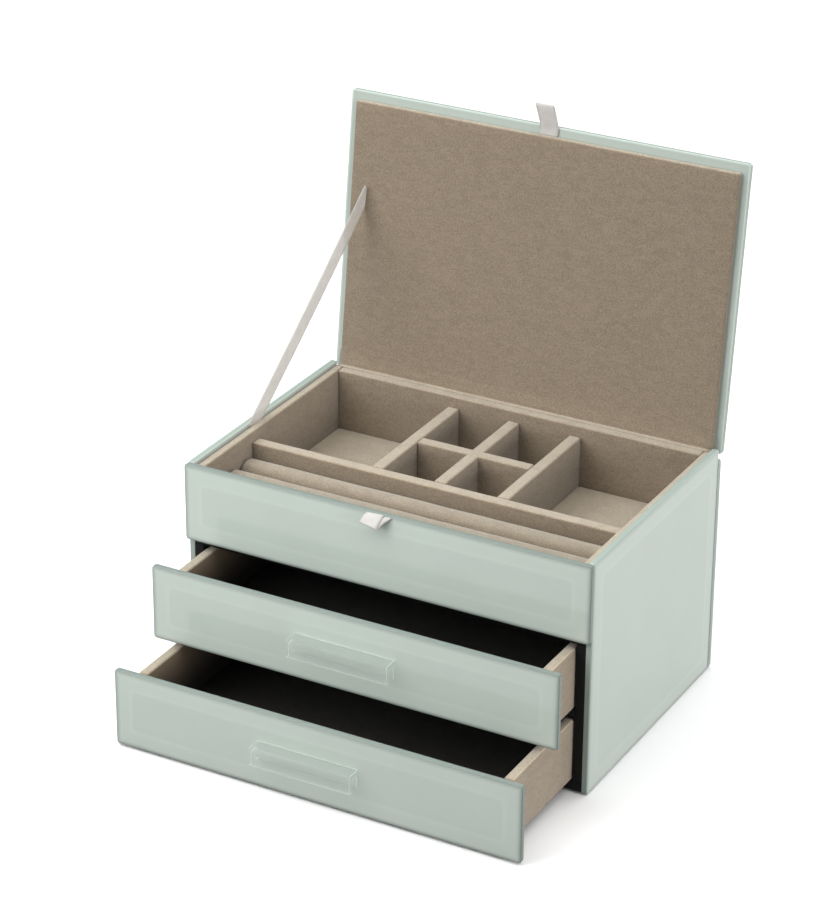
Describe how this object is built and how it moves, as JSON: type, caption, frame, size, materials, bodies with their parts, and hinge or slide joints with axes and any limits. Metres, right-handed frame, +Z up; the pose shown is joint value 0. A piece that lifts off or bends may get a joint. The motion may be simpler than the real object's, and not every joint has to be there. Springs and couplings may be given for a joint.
{
  "type": "jewellery chest with drawers",
  "caption": "Small glass-panelled jewellery chest: a lid open on a ribbon stay over a suede-lined tray with cells and ring rolls, above sliding drawers with clear handles.",
  "frame": {"origin": "centre of the case's underside, on the surface it stands on", "axes": "+X to the right seen from the front, +Y to the back, +Z up; the drawers slide out along -Y"},
  "size_m": [0.27, 0.298, 0.3388],
  "materials": {
    "back_painted_glass": "clear float glass with a wide bevel, painted pale on the back",
    "clear_acrylic": "polished clear acrylic",
    "black_felt": "thin pressed felt",
    "satin_ribbon": "woven satin ribbon",
    "suede": "brushed suede cloth over foam",
    "suede_board": "pressed-fibre board wrapped in brushed suede cloth",
    "black_card": "pressed-fibre board wrapped in black paper"
  },
  "bodies": {
    "case": {"base_felt": "black_felt", "base_board": "black_card", "left_side_board": "black_card", "right_side_board": "black_card", "back_board": "black_card", "drawer_shelf": "black_card", "tray_shelf": "black_card", "left_glass": "back_painted_glass", "right_glass": "back_painted_glass", "back_glass": "back_painted_glass", "front_glass": "back_painted_glass", "tray_front_wall": "suede_board", "tray_back_wall": "suede_board", "tray_left_wall": "suede_board", "tray_right_wall": "suede_board", "tray_floor": "suede_board", "long_divider": "suede_board", "left_divider": "suede_board", "middle_divider": "suede_board", "right_divider": "suede_board", "cross_divider": "suede_board", "front_ring_roll": "suede", "middle_ring_roll": "suede", "back_ring_roll": "suede", "tray_tab": "satin_ribbon", "stay_ribbon": "satin_ribbon", "hinge_cloth": "suede"},
    "lid": {"lid_glass": "back_painted_glass", "lid_pad": "suede_board", "lid_tab": "satin_ribbon"},
    "upper_drawer": {"upper_drawer_glass": "back_painted_glass", "upper_drawer_front_board": "black_card", "upper_drawer_left_side": "suede_board", "upper_drawer_right_side": "suede_board", "upper_drawer_back": "suede_board", "upper_drawer_floor": "suede_board", "upper_drawer_handle": "clear_acrylic"},
    "lower_drawer": {"lower_drawer_glass": "back_painted_glass", "lower_drawer_front_board": "black_card", "lower_drawer_left_side": "suede_board", "lower_drawer_right_side": "suede_board", "lower_drawer_back": "suede_board", "lower_drawer_floor": "suede_board", "lower_drawer_handle": "clear_acrylic"}
  },
  "joints": [
    {"name": "lid_hinge", "type": "hinge", "parent": "case", "child": "lid", "pos_m": [0, 0.087, 0.1496], "axis": [1, 0, 0], "range_deg": [0, 97], "deforming": ["hinge_cloth", "stay_ribbon"]},
    {"name": "upper_drawer_slide", "type": "slide", "parent": "case", "child": "upper_drawer", "axis": [0, -1, 0], "range_m": [-0.038, 0.092]},
    {"name": "lower_drawer_slide", "type": "slide", "parent": "case", "child": "lower_drawer", "axis": [0, -1, 0], "range_m": [-0.081, 0.049]}
  ]
}
